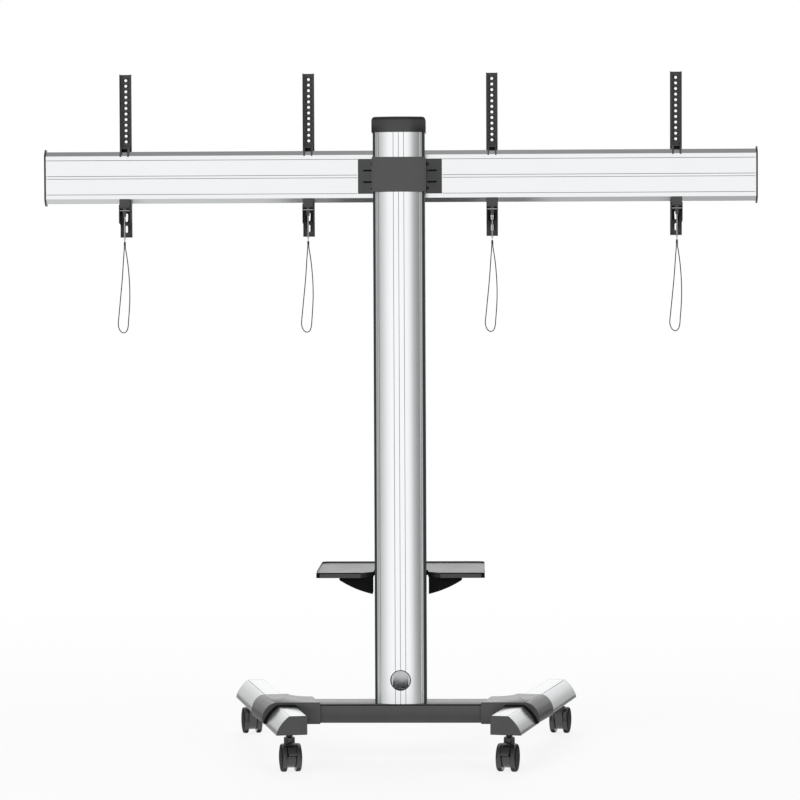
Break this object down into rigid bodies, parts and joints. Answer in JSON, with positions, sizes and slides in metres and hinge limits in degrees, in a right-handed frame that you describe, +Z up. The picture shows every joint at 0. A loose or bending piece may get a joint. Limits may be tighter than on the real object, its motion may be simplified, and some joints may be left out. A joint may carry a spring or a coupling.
{
  "type": "video wall floor stand",
  "caption": "Mobile floor stand with a tall column, a wide horizontal bar with hooked perforated display strips, a shelf and splayed castor legs.",
  "frame": {"origin": "on the floor under the middle of the stand", "axes": "+X along the bar, +Y to the side that the displays face, +Z up"},
  "size_m": [2.7656, 1.1616, 2.649],
  "materials": {
    "anodised_aluminium": "satin natural anodised extrusion",
    "side_strip_plastic": "matte black plastic strip",
    "black_plastic": "black moulded plastic",
    "grey_casting": "dark grey paint with a soft gloss, on a casting",
    "dark_grey_paint": "dark grey powder coat",
    "leg_cap_plastic": "grey moulded plastic",
    "shelf_paint": "mid grey powder coat",
    "strip_paint": "black powder coat",
    "zinc_plated_steel": "zinc-plated",
    "castor_nylon": "black nylon",
    "castor_tread": "black polyurethane",
    "cord_sheath": "thin dark braided cord"
  },
  "bodies": {
    "base_and_column": {"crossbar": "dark_grey_paint", "corner_casting_left": "grey_casting", "corner_casting_right": "grey_casting", "leg_left": "anodised_aluminium", "leg_right": "anodised_aluminium", "leg_cap_left_near": "leg_cap_plastic", "leg_cap_left_far": "leg_cap_plastic", "leg_cap_right_near": "leg_cap_plastic", "leg_cap_right_far": "leg_cap_plastic", "column": "anodised_aluminium", "column_side_strip_left": "side_strip_plastic", "column_side_strip_right": "side_strip_plastic", "column_cap": "black_plastic", "cable_port_grommet": "black_plastic", "column_foot": "zinc_plated_steel", "castor_left_near_stem": "zinc_plated_steel", "castor_left_far_stem": "zinc_plated_steel", "castor_right_near_stem": "zinc_plated_steel", "castor_right_far_stem": "zinc_plated_steel"},
    "bar_carriage": {"bar": "anodised_aluminium", "bar_cap_left": "black_plastic", "bar_cap_right": "black_plastic", "column_clamp": "dark_grey_paint", "column_saddle": "zinc_plated_steel"},
    "shelf_carriage": {"shelf_tray": "shelf_paint", "shelf_bracket": "strip_paint", "shelf_gusset_left": "black_plastic", "shelf_gusset_right": "black_plastic"},
    "display_strip_left_outer": {"strip_left_outer": "strip_paint"},
    "spring_latch_left_outer": {"latch_left_outer": "strip_paint", "ferrule_left_outer": "black_plastic", "pull_cord_left_outer": "cord_sheath"},
    "display_strip_left_inner": {"strip_left_inner": "strip_paint"},
    "spring_latch_left_inner": {"latch_left_inner": "strip_paint", "ferrule_left_inner": "black_plastic", "pull_cord_left_inner": "cord_sheath"},
    "display_strip_right_inner": {"strip_right_inner": "strip_paint"},
    "spring_latch_right_inner": {"latch_right_inner": "strip_paint", "ferrule_right_inner": "black_plastic", "pull_cord_right_inner": "cord_sheath"},
    "display_strip_right_outer": {"strip_right_outer": "strip_paint"},
    "spring_latch_right_outer": {"latch_right_outer": "strip_paint", "ferrule_right_outer": "black_plastic", "pull_cord_right_outer": "cord_sheath"},
    "castor_left_near_swivel": {"castor_left_near_housing": "castor_nylon"},
    "castor_left_near_roller_a": {"castor_left_near_wheel_a": "castor_tread"},
    "castor_left_near_roller_b": {"castor_left_near_wheel_b": "castor_tread"},
    "castor_left_near_brake": {"castor_left_near_pedal": "castor_nylon"},
    "castor_left_far_swivel": {"castor_left_far_housing": "castor_nylon"},
    "castor_left_far_roller_a": {"castor_left_far_wheel_a": "castor_tread"},
    "castor_left_far_roller_b": {"castor_left_far_wheel_b": "castor_tread"},
    "castor_left_far_brake": {"castor_left_far_pedal": "castor_nylon"},
    "castor_right_near_swivel": {"castor_right_near_housing": "castor_nylon"},
    "castor_right_near_roller_a": {"castor_right_near_wheel_a": "castor_tread"},
    "castor_right_near_roller_b": {"castor_right_near_wheel_b": "castor_tread"},
    "castor_right_near_brake": {"castor_right_near_pedal": "castor_nylon"},
    "castor_right_far_swivel": {"castor_right_far_housing": "castor_nylon"},
    "castor_right_far_roller_a": {"castor_right_far_wheel_a": "castor_tread"},
    "castor_right_far_roller_b": {"castor_right_far_wheel_b": "castor_tread"},
    "castor_right_far_brake": {"castor_right_far_pedal": "castor_nylon"}
  },
  "joints": [
    {"name": "bar_height", "type": "slide", "parent": "base_and_column", "child": "bar_carriage", "axis": [0, 0, 1], "range_m": [-0.6, 0.08]},
    {"name": "shelf_height", "type": "slide", "parent": "base_and_column", "child": "shelf_carriage", "axis": [0, 0, 1], "range_m": [-0.3, 0.25]},
    {"name": "strip_left_outer_slide", "type": "slide", "parent": "bar_carriage", "child": "display_strip_left_outer", "axis": [1, 0, 0], "range_m": [-0.25, 0.25]},
    {"name": "latch_left_outer_pull", "type": "slide", "parent": "display_strip_left_outer", "child": "spring_latch_left_outer", "axis": [0, 0, 1], "range_m": [-0.018, 0], "stiffness_N_per_m": 400, "springref_m": 0.01},
    {"name": "strip_left_inner_slide", "type": "slide", "parent": "bar_carriage", "child": "display_strip_left_inner", "axis": [1, 0, 0], "range_m": [-0.25, 0.15]},
    {"name": "latch_left_inner_pull", "type": "slide", "parent": "display_strip_left_inner", "child": "spring_latch_left_inner", "axis": [0, 0, 1], "range_m": [-0.018, 0], "stiffness_N_per_m": 400, "springref_m": 0.01},
    {"name": "strip_right_inner_slide", "type": "slide", "parent": "bar_carriage", "child": "display_strip_right_inner", "axis": [1, 0, 0], "range_m": [-0.15, 0.25]},
    {"name": "latch_right_inner_pull", "type": "slide", "parent": "display_strip_right_inner", "child": "spring_latch_right_inner", "axis": [0, 0, 1], "range_m": [-0.018, 0], "stiffness_N_per_m": 400, "springref_m": 0.01},
    {"name": "strip_right_outer_slide", "type": "slide", "parent": "bar_carriage", "child": "display_strip_right_outer", "axis": [1, 0, 0], "range_m": [-0.25, 0.25]},
    {"name": "latch_right_outer_pull", "type": "slide", "parent": "display_strip_right_outer", "child": "spring_latch_right_outer", "axis": [0, 0, 1], "range_m": [-0.018, 0], "stiffness_N_per_m": 400, "springref_m": 0.01},
    {"name": "castor_left_near_swivel_turn", "type": "hinge", "parent": "base_and_column", "child": "castor_left_near_swivel", "pos_m": [-0.41383, -0.48051, 0], "axis": [0, 0, 1], "continuous": true},
    {"name": "castor_left_near_wheel_a_spin", "type": "hinge", "parent": "castor_left_near_swivel", "child": "castor_left_near_roller_a", "pos_m": [-0.40787, -0.50787, 0.053], "axis": [-0.977, -0.213, 0], "continuous": true},
    {"name": "castor_left_near_wheel_b_spin", "type": "hinge", "parent": "castor_left_near_swivel", "child": "castor_left_near_roller_b", "pos_m": [-0.40787, -0.50787, 0.053], "axis": [-0.977, -0.213, 0], "continuous": true},
    {"name": "castor_left_near_brake_press", "type": "hinge", "parent": "castor_left_near_swivel", "child": "castor_left_near_brake", "pos_m": [-0.40275, -0.53132, 0.09457], "axis": [0.977, 0.213, 0], "range_deg": [0, 12]},
    {"name": "castor_left_far_swivel_turn", "type": "hinge", "parent": "base_and_column", "child": "castor_left_far_swivel", "pos_m": [-0.62337, 0.48051, 0], "axis": [0, 0, 1], "continuous": true},
    {"name": "castor_left_far_wheel_a_spin", "type": "hinge", "parent": "castor_left_far_swivel", "child": "castor_left_far_roller_a", "pos_m": [-0.62933, 0.50787, 0.053], "axis": [0.977, 0.213, 0], "continuous": true},
    {"name": "castor_left_far_wheel_b_spin", "type": "hinge", "parent": "castor_left_far_swivel", "child": "castor_left_far_roller_b", "pos_m": [-0.62933, 0.50787, 0.053], "axis": [0.977, 0.213, 0], "continuous": true},
    {"name": "castor_left_far_brake_press", "type": "hinge", "parent": "castor_left_far_swivel", "child": "castor_left_far_brake", "pos_m": [-0.63445, 0.53132, 0.09457], "axis": [-0.977, -0.213, 0], "range_deg": [0, 12]},
    {"name": "castor_right_near_swivel_turn", "type": "hinge", "parent": "base_and_column", "child": "castor_right_near_swivel", "pos_m": [0.41383, -0.48051, 0], "axis": [0, 0, 1], "continuous": true},
    {"name": "castor_right_near_wheel_a_spin", "type": "hinge", "parent": "castor_right_near_swivel", "child": "castor_right_near_roller_a", "pos_m": [0.40787, -0.50787, 0.053], "axis": [-0.977, 0.213, 0], "continuous": true},
    {"name": "castor_right_near_wheel_b_spin", "type": "hinge", "parent": "castor_right_near_swivel", "child": "castor_right_near_roller_b", "pos_m": [0.40787, -0.50787, 0.053], "axis": [-0.977, 0.213, 0], "continuous": true},
    {"name": "castor_right_near_brake_press", "type": "hinge", "parent": "castor_right_near_swivel", "child": "castor_right_near_brake", "pos_m": [0.40275, -0.53132, 0.09457], "axis": [0.977, -0.213, 0], "range_deg": [0, 12]},
    {"name": "castor_right_far_swivel_turn", "type": "hinge", "parent": "base_and_column", "child": "castor_right_far_swivel", "pos_m": [0.62337, 0.48051, 0], "axis": [0, 0, 1], "continuous": true},
    {"name": "castor_right_far_wheel_a_spin", "type": "hinge", "parent": "castor_right_far_swivel", "child": "castor_right_far_roller_a", "pos_m": [0.62933, 0.50787, 0.053], "axis": [0.977, -0.213, 0], "continuous": true},
    {"name": "castor_right_far_wheel_b_spin", "type": "hinge", "parent": "castor_right_far_swivel", "child": "castor_right_far_roller_b", "pos_m": [0.62933, 0.50787, 0.053], "axis": [0.977, -0.213, 0], "continuous": true},
    {"name": "castor_right_far_brake_press", "type": "hinge", "parent": "castor_right_far_swivel", "child": "castor_right_far_brake", "pos_m": [0.63445, 0.53132, 0.09457], "axis": [-0.977, 0.213, 0], "range_deg": [0, 12]}
  ]
}
